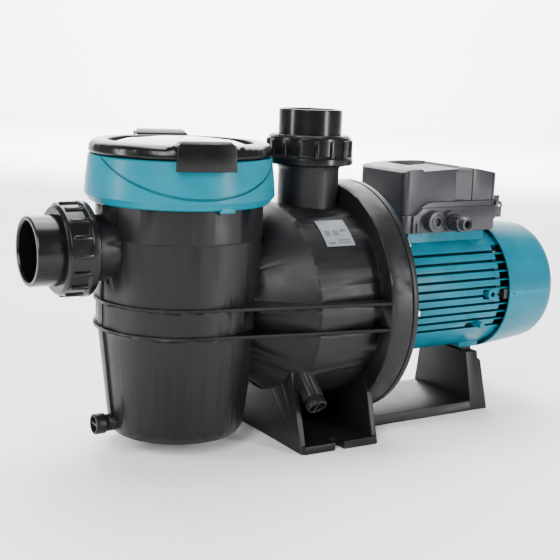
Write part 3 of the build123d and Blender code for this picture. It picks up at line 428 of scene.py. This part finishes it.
def make_finishes(colours):
    """Every finish on the pump, by the name its pieces ask for."""
    return {
        # Glass-filled polypropylene, sand-textured tool: satin black that greys softly where it catches
        # light.
        "black": surface("glass_filled_polypropylene_moulded", colours.black, variation=0.10, patch=55,
                         rough=0.40, rough_spread=0.05, grain=1.1, grain_depth=0.05, wave=34,
                         wave_depth=0.25, rounding=1.2, wear=0.10, specular=0.2),
        # Polished-tool ABS: deep black with sharp, slightly wavy highlights.
        "gloss": surface("black_abs_polished_tool", colours.gloss, variation=0.06, patch=45, rough=0.24,
                         rough_spread=0.04, grain=1.4, grain_depth=0.012, wave=40, wave_depth=0.10,
                         rounding=0.8, coat=0.08, coat_rough=0.12, wear=0.06, specular=0.22),
        # Coloured ABS collar: even teal with a soft satin sheen, and painted shade darkening the swoosh
        # groove.
        "teal": surface("teal_abs_moulded", colours.teal, variation=0.05, patch=60, rough=0.33,
                        rough_spread=0.04, grain=1.0, grain_depth=0.02, wave=36, wave_depth=0.15,
                        rounding=0.8, painted_recess_shade="#01303a", specular=0.15),
        # Sprayed enamel over die-cast aluminium: orange peel, and painted shade darkening the grooves between
        # the fins.
        "paint": surface("teal_enamel_on_die_cast_aluminium", colours.paint, variation=0.06, patch=30,
                         rough=0.36, rough_spread=0.05, grain=2.4, grain_depth=0.05, wave=16,
                         wave_depth=0.20, rounding=0.7, wear=0.10, painted_recess_shade="#01262e", specular=0.15),
        # Near-black colour on the die-cast aluminium rear end shield, painted shade for the shadow under the
        # fan cover's rim: satin, slightly dusty.
        "painted_shade_black": surface("painted_shade_black_on_die_cast_aluminium", "#151618", variation=0.10, patch=20,
                                rough=0.45, rough_spread=0.06, grain=1.8, grain_depth=0.05, rounding=0.5),
        # Self-extinguishing polyamide: neutral grey, faintly violet, satin.
        "grey": surface("grey_polyamide_moulded", colours.grey, variation=0.06, patch=35, rough=0.38,
                        rough_spread=0.05, grain=0.9, grain_depth=0.03, wave=28, wave_depth=0.15,
                        rounding=0.8, wear=0.10, specular=0.35),
        # Darker grade of the same polyamide, for the inlay, the gland and the plug.
        "dark_grey": surface("dark_grey_polyamide_moulded", "#232327", variation=0.08, patch=30,
                             rough=0.42, rough_spread=0.05, grain=0.9, grain_depth=0.03, wave=24,
                             wave_depth=0.15, rounding=0.7, wear=0.10),
        # EPDM rubber: matt, slightly dusty black.
        "rubber": surface("epdm_rubber_moulded", "#141414", variation=0.15, patch=12, rough=0.78,
                          rough_spread=0.08, grain=0.6, grain_depth=0.06, ior=1.52, rounding=0.3),
        # Natural polypropylene basket: milky off-white, waxy.
        "basket": surface("natural_polypropylene_moulded", "#d9dcd8", variation=0.04, patch=40,
                          rough=0.45, rough_spread=0.06, grain=1.2, grain_depth=0.03, rounding=0.5),
        # Glass-filled polyphenylene ether for impeller and diffuser: warm beige with fibre fleck.
        "ppe": surface("glass_filled_polyphenylene_moulded", "#b9a98a", variation=0.08, patch=6, rough=0.5,
                         rough_spread=0.08, grain=0.7, grain_depth=0.05, rounding=0.4),
        # Zinc-plated steel screws: pale, slightly yellow, fine turned marks.
        "zinc": surface("zinc_plated_steel_turned", "#c7c8c4", variation=0.06, patch=4, rough=0.30,
                        rough_spread=0.06, grain=0.5, grain_depth=0.02, metallic=1.0, rounding=0.25),
        # Ground steel shaft and bearing rings: bright with a fine lay.
        "steel": surface("bearing_steel_ground", "#b9bbbd", variation=0.04, patch=8, rough=0.20,
                         rough_spread=0.05, grain=0.5, grain_depth=0.01, metallic=1.0, rounding=0.25,
                         stretch=(6, 1, 1)),
        # Raw die-cast aluminium: dull silver with casting mottling.
        "cast": surface("die_cast_aluminium_raw", "#a9abad", variation=0.10, patch=14, rough=0.48,
                        rough_spread=0.08, grain=1.4, grain_depth=0.08, metallic=1.0, rounding=0.5),
        # Stacked electrical steel: dark sheet edges, drawn about 1.5 mm apart so that they show.
        "laminated": surface("electrical_steel_stacked", "#5d5e61", variation=0.12, patch=1.5, rough=0.45,
                             rough_spread=0.06, grain=1.5, grain_depth=0.08, metallic=1.0, rounding=0.2,
                             stretch=(6, 1, 1)),
        # Enamelled copper end turns: warm brown gloss with strand-sized ridges.
        "copper": surface("enamelled_copper_wound", "#9a4c22", variation=0.18, patch=2.0, rough=0.32,
                          rough_spread=0.06, grain=1.2, grain_depth=0.25, metallic=0.6, rounding=0.6),
        # Fired alumina seal face.
        "ceramic": surface("alumina_fired", "#ece6da", variation=0.02, patch=10, rough=0.25,
                           rough_spread=0.04, grain=0.6, grain_depth=0.01, ior=1.76, rounding=0.2),
        # Carbon graphite: near black with a dull metallic gleam.
        "carbon": surface("carbon_graphite_pressed", "#2a2a2c", variation=0.10, patch=3, rough=0.42,
                          rough_spread=0.05, grain=0.6, grain_depth=0.02, rounding=0.2),
        # Silver polyester foil, satin, with a fine print texture.
        "foil": surface("silver_polyester_foil", "#7c8488", variation=0.03, patch=9, rough=0.34,
                        rough_spread=0.04, grain=0.7, grain_depth=0.01, metallic=0.25, rounding=0.1),
        # Screen ink on the foil.
        "ink": surface("screen_ink_on_foil", "#4a5560", variation=0.04, patch=6, rough=0.5,
                       rough_spread=0.04, grain=0.7, grain_depth=0.01, rounding=0.1),
        "clear": clear_polycarbonate(),
    }


finishes = {}


def coat_piece(obj, finish):
    obj.data.materials.clear()
    obj.data.materials.append(finishes[finish])
    return obj


def finish_piece(obj, finish, body, slot, *nodes):
    """Gives a new piece its material and the body it rides on, and hides the nodes it stands for; the slot
    argument is not used.
    """
    coat_piece(obj, finish)
    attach(obj, body)
    if nodes:
        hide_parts(*nodes)
    return obj


def dress_node(name, finish):
    """Gives a CAD node that stays in view a finished material."""
    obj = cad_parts[name]
    if not obj.data.materials:
        obj.data.materials.append(finishes[finish])
    for place in obj.material_slots:
        place.link = "OBJECT"
        place.material = finishes[finish]


class PumpOperator:
    """What every step of the build shares."""
    bl_options = {"REGISTER", "UNDO"}

    @property
    def sizes(self):
        return bpy.context.scene.pump_sizes


HEADING = math.radians(31.354)      # how far the camera looks to the right of +Y
PITCH = math.radians(90 - 10.753)   # up from straight down
ROLL = math.radians(2.05)
LENS = 72.03
CAMERA_PLACE = (-0.6932, -1.1078, 0.4228)
FLOOR_DROP = -0.0002                # metres, so that the floor and the feet don't share a plane


# ---- stage --------------------------------------------------------------------------
class PUMP_OT_stage(PumpOperator, bpy.types.Operator):
    """Plain pale floor, soft studio light and the camera"""
    bl_idname = "pump.stage"
    bl_label = "Stage"

    def execute(self, context):
        deselect()
        bpy.ops.mesh.primitive_plane_add(size=14, location=(0, 0, FLOOR_DROP))
        floor = name_last("floor")
        bpy.ops.object.transform_apply(location=True, rotation=True, scale=True)
        # Matt white paper: no pattern that the eye can find, only a slow drift over a metre.
        floor.data.materials.append(surface(
            "white_paper_sweep", context.scene.pump_colours.floor, variation=0.004, patch=900, rough=0.9,
            rough_spread=0.02, grain=3, grain_depth=0.01, rounding=0.1))
        bpy.ops.mesh.primitive_plane_add(size=16, location=(3.4, 5.6, 0), rotation=(math.pi / 2, 0, -HEADING))
        wall = name_last("back_wall")
        bpy.ops.object.transform_apply(location=True, rotation=True, scale=True)
        wall.data.materials.append(floor.data.materials[0])
        world = bpy.data.worlds.new("studio")
        context.scene.world = world
        world.use_nodes = True
        world.node_tree.nodes["Background"].inputs["Color"].default_value = linear("#ffffff")
        world.node_tree.nodes["Background"].inputs["Strength"].default_value = 0.4
        pump = (0, 0, 0.18)
        self.light("key_from_front_left", (-1.7, -1.5, 1.5), pump, 0.7, 1.4, 55)
        self.light("strip_on_left", (-1.7, 0.3, 0.6), pump, 0.25, 1.2, 26)
        self.light("strip_on_right", (0.95, -1.8, 0.62), pump, 0.3, 1.2, 42)
        self.light("broad_top", (0.3, 0.5, 2.2), pump, 1.4, 1.4, 70)
        self.light("floor_wash", (2.2, 3.8, 3.0), (2.2, 3.6, 0), 5.0, 5.0, 500)
        self.light("wall_wash", (1.6, 2.8, 2.2), (3.4, 5.6, 0.9), 5.0, 2.0, 700)
        self.camera(context)
        return {"FINISHED"}

    def light(self, name, place, target, width, height, power):
        """One rectangular soft box aimed at a point."""
        bpy.ops.object.light_add(type="AREA", location=place)
        lamp = bpy.context.active_object
        lamp.name = name
        lamp.data.shape = "RECTANGLE"
        lamp.data.size = width
        lamp.data.size_y = height
        lamp.data.energy = power
        aim = Vector(target) - Vector(place)
        lamp.rotation_euler = aim.to_track_quat("-Z", "Y").to_euler()

    def camera(self, context):
        """A 72 mm lens, seen from the front left and a little above."""
        bpy.ops.object.camera_add()
        camera = bpy.context.active_object
        camera.name = "camera"
        camera.data.sensor_width = 36
        camera.data.lens = LENS
        heading = Matrix.Rotation(-HEADING, 4, "Z")
        pitch = Matrix.Rotation(PITCH, 4, "X")
        roll = Matrix.Rotation(ROLL, 4, "Z")
        camera.matrix_world = Matrix.Translation(CAMERA_PLACE) @ heading @ pitch @ roll
        context.scene.camera = camera


# ---- strainer pot -------------------------------------------------------------------
class PUMP_OT_body(PumpOperator, bpy.types.Operator):
    """Pot, drum, necks and foot, moulded in one piece"""
    bl_idname = "pump.body"
    bl_label = "Pump body"

    def execute(self, context):
        parts = ("strainer_pot", "volute_casing", "casing_foot")
        pot, drum, foot = [merged_copy(name) for name in parts]
        body = tidy_faces(add(pot, drum, foot))
        body.name = "pump_body_finished"
        round_edges(body, self.sizes.edge, 28)
        finish_piece(body, "black", "housing", "black_plastic", *parts)
        return {"FINISHED"}


class PUMP_OT_collar(PumpOperator, bpy.types.Operator):
    """Teal collar with its swooping groove"""
    bl_idname = "pump.collar"
    bl_label = "Pot collar"

    def execute(self, context):
        top = COLLAR_TOP
        base = top - COLLAR_HEIGHT
        wall = COLLAR_RADIUS
        inner = wall - COLLAR_WALL
        channel = top - CHANNEL_DEPTH
        collar = turned("collar", [
            (inner, base, 0), (wall - 6.9, base, 0.8), (wall - 4.9, base + 1.5, 0.8),
            (wall - 2.8, base + 5, 1.5), (wall, base + 8.5, 1.6), (wall - 1, base + 24, 8),
            (wall - 3, base + 41.5, 8), (wall - 4, top - 1.4, 1.5), (wall - 5.2, top, 0.8),
            (wall - 9.2, top, 0.5), (wall - 9.2, channel, 0), (inner, channel, 0),
        ], "Z", POT)
        tab = rounded_block("tab", (-9, -wall + 4.2, low("pot_collar").z), (9, -wall + 9, base + 3), 1.0)
        turn = Matrix.Rotation(math.radians(TAB_ANGLE), 4, "Z")
        tab.data.transform(Matrix.Translation(POT * MM) @ turn)
        add(collar, tab)
        for side in (0, 180):
            cut(collar, self.groove(base, wall, side))
        smooth(collar)
        finish_piece(collar, "teal", "housing", "teal_plastic", "pot_collar")
        return {"FINISHED"}

    def groove(self, base, wall, side):
        """A thin tube on a tilted circle, lowest in line with a grip, to cut the swooping groove."""
        half_sweep = 74
        steps = 56
        deselect()
        bpy.ops.curve.primitive_bezier_curve_add()
        path = bpy.context.active_object
        path.data.splines.clear()
        line = path.data.splines.new("POLY")
        line.points.add(steps)
        for i in range(steps + 1):
            away = math.radians(-half_sweep + 2 * half_sweep * i / steps)
            angle = math.radians(GRIP_ANGLE + side) + away
            climb = self.sizes.groove_low + self.sizes.groove_drop * (1 - math.cos(away))
            rise = base + climb
            drawn_in = 4.0 * (max(0.0, climb - 8.5) / 41) ** 1.4
            reach = wall - 0.4 - drawn_in
            line.points[i].co = ((POT.x + reach * math.cos(angle)) * MM, reach * math.sin(angle) * MM,
                                 rise * MM, 1)
        path.data.bevel_depth = self.sizes.groove_width / 2 * MM
        path.data.bevel_resolution = 2
        path.data.use_fill_caps = True
        select(path)
        path.location = (0, 0, 0)
        bpy.ops.object.convert(target="MESH")
        return bpy.context.active_object


class PUMP_OT_lock_ring(PumpOperator, bpy.types.Operator):
    """Black lock ring with two raised grips"""
    bl_idname = "pump.lock_ring"
    bl_label = "Lid lock ring"

    def execute(self, context):
        ring = refined("lid_lock_ring", 1.0, 35)
        ends = []
        for turn in (0, 180):
            for side in (-1, 1):
                edges = sorted((side * (GRIP_HALF_WIDTH - GRIP_END_WALL), side * GRIP_HALF_WIDTH))
                end = rounded_block("grip_end", (GRIP_REACH[0], edges[0], COLLAR_TOP + GRIP_RISE[0]),
                                    (GRIP_REACH[1], edges[1], COLLAR_TOP + GRIP_RISE[1]), 1.0)
                spin = Matrix.Rotation(math.radians(GRIP_ANGLE + turn), 4, "Z")
                end.data.transform(Matrix.Translation(POT * MM) @ spin)
                ends.append(end)
        piece = smooth(join("lid_lock_ring_finished", [ring] + ends), 35)
        finish_piece(piece, "gloss", "lock_ring", "gloss_black", "lid_lock_ring")
        return {"FINISHED"}


class PUMP_OT_window(PumpOperator, bpy.types.Operator):
    """Clear domed window of the lid, with its moulding gate"""
    bl_idname = "pump.window"
    bl_label = "Clear lid"

    def execute(self, context):
        base = low("clear_lid").z
        crown = high("clear_lid").z
        window = turned("window", [
            (0, crown - 6.0, 0), (40, crown - 7.7, 30), (70, crown - 12.5, 6), (76, crown - 17.5, 2),
            (76, base, 0.5), (90.4, base, 0.5), (90.4, crown - 15.9, 0.5), (79.9, crown - 15.9, 0.5),
            (79.4, crown - 9.0, 3.0), (60, crown - 3.6, 20), (30, crown - 0.7, 20), (3, crown - 0.4, 0),
            (2.6, crown, 0.3), (0, crown, 0),
        ], "Z", POT)
        finish_piece(window, "clear", "lid", "clear_plastic", "clear_lid")
        return {"FINISHED"}


# ---- unions and drains --------------------------------------------------------------
class PUMP_OT_unions(PumpOperator, bpy.types.Operator):
    """Pipe sockets and ribbed union nuts of both ports"""
    bl_idname = "pump.unions"
    bl_label = "Pipe unions"

    def execute(self, context):
        for port, place in (("suction", self.to_suction), ("discharge", self.to_discharge)):
            socket = self.socket()
            nut = self.nut()
            for piece, kind in ((socket, "_socket"), (nut, "_union_nut")):
                piece.data.transform(place())
                piece.name = port + kind + "_finished"
            finish_piece(socket, "gloss", "housing", "gloss_black", port + "_socket")
            finish_piece(nut, "gloss", port + "_nut", "gloss_black", port + "_union_nut")
        return {"FINISHED"}

    def to_suction(self):
        return Matrix.Translation(SUCTION * MM) @ Matrix.Rotation(math.radians(-90), 4, "Y")

    def to_discharge(self):
        return Matrix.Translation(DISCHARGE * MM)

    def socket(self):
        """Solvent socket with its mouth at height zero and a bevelled lead-in."""
        return turned("socket", [
            (31.6, -2.0, 0.4), (32.6, 0, 0.4), (36.2, 0, 0.8), (37.0, -1.4, 0.8), (37.0, -40.0, 0),
            (43.4, -40.0, 0.4), (43.4, -45.8, 0), (27.0, -45.8, 0), (27.0, -39.5, 0.5), (31.6, -38.0, 0.5),
        ], "Z", Vector((0, 0, 0)))

    def nut(self):
        """Union nut: stepped outside, rolled flange at the rear, ribs with rounded ends."""
        count = self.sizes.nut_ribs
        body = turned("nut", [
            (37.5, -29.0, 0.5), (45.2, -29.0, 1.0), (48.2, -32.2, 1.6), (48.2, -52.0, 1.0),
            (49.8, -53.6, 0.6), (51.2, -55.4, 0.8), (51.2, -61.6, 1.0), (49.8, -63.0, 0.6),
            (44.7, -63.0, 0.3), (44.7, -39.6, 0), (37.5, -39.6, 0.3),
        ], "Z", Vector((0, 0, 0)))
        rib = rounded_block("rib", (46.5, -2.6, -54.5), (50.9, 2.6, -34.5), 1.5, 4)
        return smooth(join("nut", [body] + copies_round(rib, count, Vector((0, 0, 0)), "Z")), 40)


class PUMP_OT_drains(PumpOperator, bpy.types.Operator):
    """Two slotted drain plugs"""
    bl_idname = "pump.drains"
    bl_label = "Drain plugs"

    def execute(self, context):
        for plug in ("pot_drain", "volute_drain"):
            piece = refined(plug + "_plug", 0.6, 25)
            finish_piece(piece, "black", plug, "black_plastic", plug + "_plug")
        return {"FINISHED"}


class PUMP_OT_label(PumpOperator, bpy.types.Operator):
    """Plain foil label with generic printed bars"""
    bl_idname = "pump.label"
    bl_label = "Plain label"

    # Each bar: where it starts and how wide it is, as shares of the label, its angle from the
    # middle of the label in degrees, and its height in millimetres.
    PRINT = ((0.10, 0.26, 7.44, 3.2), (0.44, 0.44, 7.44, 2.0), (0.44, 0.44, 5.704, 2.0),
             (0.10, 0.20, 0.62, 7.5), (0.38, 0.20, 0.62, 7.5), (0.68, 0.20, -0.868, 4.0))

    def execute(self, context):
        foil = refined("plain_label", 0)
        finish_piece(foil, "foil", "housing", "label_silver", "plain_label")
        left = low("plain_label").x
        width = high("plain_label").x - left
        bars = []
        for along, share, turn, tall in self.PRINT:
            start = left + width * along
            bars.append(self.bar(start, start + width * share, LABEL_ANGLE + turn, tall))
        print_piece = join("label_print", bars)
        finish_piece(print_piece, "ink", "housing", "label_silver")
        return {"FINISHED"}

    def bar(self, start, end, angle, tall):
        """One flat printed bar, its face just above the foil's."""
        bar = rounded_block("bar", (start, -tall / 2, LABEL_RADIUS - 0.12),
                            (end, tall / 2, LABEL_RADIUS + 0.02), 0)
        spin = Matrix.Rotation(math.radians(angle), 4, "X")
        bar.data.transform(Matrix.Translation(SHAFT * MM) @ spin)
        return bar


# ---- motor --------------------------------------------------------------------------
class PUMP_OT_motor(PumpOperator, bpy.types.Operator):
    """Finned frame, clamping ring and bracket"""
    bl_idname = "pump.motor"
    bl_label = "Motor frame"

    def execute(self, context):
        frame_piece = refined("motor_frame", 0.5, 35)
        finish_piece(frame_piece, "paint", "housing", "teal_paint", "motor_frame")
        bracket = refined("motor_bracket", 0.6, 35)
        finish_piece(bracket, "paint", "housing", "teal_paint", "motor_bracket")
        plate = refined("seal_plate", 0.6, 35)
        finish_piece(plate, "black", "housing", "black_plastic", "seal_plate")
        return {"FINISHED"}


class PUMP_OT_fan_cover(PumpOperator, bpy.types.Operator):
    """Domed fan cowl with its rear grille"""
    bl_idname = "pump.fan_cover"
    bl_label = "Fan cover"

    def execute(self, context):
        r = COVER_RADIUS
        front, rear = COVER_FRONT, COVER_REAR
        inside = rear - COVER_WALL
        end = r - COVER_TAPER
        cover = turned("fan_cover_finished", [
            (r, front, 0.9), (end, rear, 17), (0, rear, 0), (0, inside, 0),
            (end - COVER_WALL, inside, 15), (r - COVER_WALL, front, 0.9),
        ], "X", SHAFT)
        for radius in GRILLE_RADII:
            cut(cover, self.slots(radius, rear))
        for turn in range(4):
            hole = turned("hole", [(0, r - 8, 0), (2.6, r - 8, 0), (2.6, r + 4, 0), (0, r + 4, 0)], "Z",
                          Vector((front + 8, 0, 0)), 16)
            hole.data.transform(Matrix.Translation(SHAFT * MM) @ Matrix.Rotation(turn * math.pi / 2, 4, "X"))
            cut(cover, hole)
        use_modifier(cover, "BEVEL", width=0.5 * MM, segments=2, limit_method="ANGLE",
                     angle_limit=math.radians(50), use_clamp_overlap=True)
        smooth(cover)
        finish_piece(cover, "paint", "housing", "teal_paint", "fan_cover")
        return {"FINISHED"}

    def slots(self, radius, rear):
        """Six arc slots of one grille ring."""
        inner = radius - GRILLE_HALF_WIDTH
        outer = radius + GRILLE_HALF_WIDTH
        ring = turned("slot", [(inner, rear - 10, 0), (outer, rear - 10, 0), (outer, rear + 2, 0),
                               (inner, rear + 2, 0)], "X", SHAFT, 72)
        for turn in range(3):
            spoke = rounded_block("spoke", (rear - 20, -3, -80), (rear + 20, 3, 80), 0)
            spoke.data.transform(Matrix.Translation(SHAFT * MM) @ Matrix.Rotation(turn * math.pi / 3, 4, "X"))
            cut(ring, spoke)
        return ring


# ---- terminal box and stand ---------------------------------------------------------
class PUMP_OT_terminal_box(PumpOperator, bpy.types.Operator):
    """Terminal box, its lid and the cable gland"""
    bl_idname = "pump.terminal_box"
    bl_label = "Terminal box"

    def execute(self, context):
        lid = refined("terminal_box_lid", 1.0, 30)
        finish_piece(lid, "grey", "box_lid", "box_grey", "terminal_box_lid")
        near = low("terminal_box_lid").y
        seat = low("terminal_box_base").z
        inlay = rounded_block("box_inlay", (INLAY_SPAN[0], near + 0.3, seat + INLAY_RISE[0]),
                              (INLAY_SPAN[1], near + 2.2, seat + INLAY_RISE[1]), 0.8)
        finish_piece(inlay, "dark_grey", "box_lid", "box_grey")
        base = refined("terminal_box_base", 0.8, 30)
        finish_piece(base, "grey", "housing", "box_grey", "terminal_box_base")
        nut = refined("gland_nut", 0.4, 30)
        finish_piece(nut, "dark_grey", "cable_nut", "gloss_black", "gland_nut")
        plug = refined("blank_plug", 0.5, 30)
        finish_piece(plug, "dark_grey", "housing", "box_grey", "blank_plug")
        gland = refined("gland_body", 0.4, 30)
        finish_piece(gland, "dark_grey", "housing", "gloss_black", "gland_body")
        return {"FINISHED"}


class PUMP_OT_stand(PumpOperator, bpy.types.Operator):
    """Moulded stand under the motor"""
    bl_idname = "pump.stand"
    bl_label = "Motor stand"

    def execute(self, context):
        stand = refined("motor_stand", 1.4, 25)
        finish_piece(stand, "black", "housing", "black_plastic", "motor_stand")
        return {"FINISHED"}


CARRIED = {
    "rubber": ("lid_oring", "suction_union_oring", "discharge_union_oring", "pot_drain_oring",
               "volute_drain_oring", "casing_oring", "shaft_slinger", "box_gasket", "gland_seal",
               "stand_pad"),
    "basket": ("strainer_basket", "basket_handle"),
    "ppe": ("diffuser", "impeller", "terminal_block"),
    "paint": ("fan_cover_screws",),
    # The rear end shield's near-black colour is painted shade under the fan cover's rim.
    "painted_shade_black": ("rear_end_shield",),
    "zinc": ("casing_screws", "bracket_screws", "box_screws", "stand_screws", "tie_bolts",
             "box_hinge_pins"),
    "steel": ("motor_shaft", "front_bearing", "rear_bearing"),
    "cast": ("rotor", "run_capacitor"),
    "laminated": ("stator_core",),
    "copper": ("stator_windings",),
    "ceramic": ("seal_seat",),
    "carbon": ("seal_head",),
    "black": ("cooling_fan",),
}


class PUMP_OT_inner_parts(PumpOperator, bpy.types.Operator):
    """Finishes for the parts that stay as they are"""
    bl_idname = "pump.inner_parts"
    bl_label = "Inner parts"

    def execute(self, context):
        for finish, names in CARRIED.items():
            for name in names:
                dress_node(name, finish)
        return {"FINISHED"}


STEPS = (PUMP_OT_stage, PUMP_OT_body, PUMP_OT_collar, PUMP_OT_lock_ring, PUMP_OT_window, PUMP_OT_unions,
         PUMP_OT_drains, PUMP_OT_label, PUMP_OT_motor, PUMP_OT_fan_cover, PUMP_OT_terminal_box, PUMP_OT_stand,
         PUMP_OT_inner_parts)


class PUMP_PT_panel(bpy.types.Panel):
    """Lists the pump's settings and building steps"""
    bl_idname = "PUMP_PT_panel"
    bl_label = "Pool pump"
    bl_space_type = "VIEW_3D"
    bl_region_type = "UI"
    bl_category = "Pool pump"

    def draw(self, context):
        for group in (context.scene.pump_colours, context.scene.pump_sizes):
            for name in group.bl_rna.properties.keys():
                if name not in ("rna_type", "name"):
                    self.layout.prop(group, name)
        for step in STEPS:
            self.layout.operator(step.bl_idname)


CLASSES = (PumpColours, PumpSizes) + STEPS + (PUMP_PT_panel,)


def register():
    for cls in CLASSES:
        bpy.utils.register_class(cls)
    bpy.types.Scene.pump_colours = bpy.props.PointerProperty(type=PumpColours)
    bpy.types.Scene.pump_sizes = bpy.props.PointerProperty(type=PumpSizes)


def unregister():
    del bpy.types.Scene.pump_sizes
    del bpy.types.Scene.pump_colours
    for cls in reversed(CLASSES):
        bpy.utils.unregister_class(cls)


def main():
    register()
    finishes.update(make_finishes(bpy.context.scene.pump_colours))
    for step in STEPS:
        group, action = step.bl_idname.split(".")
        getattr(getattr(bpy.ops, group), action)()


if __name__ == "__main__":
    main()
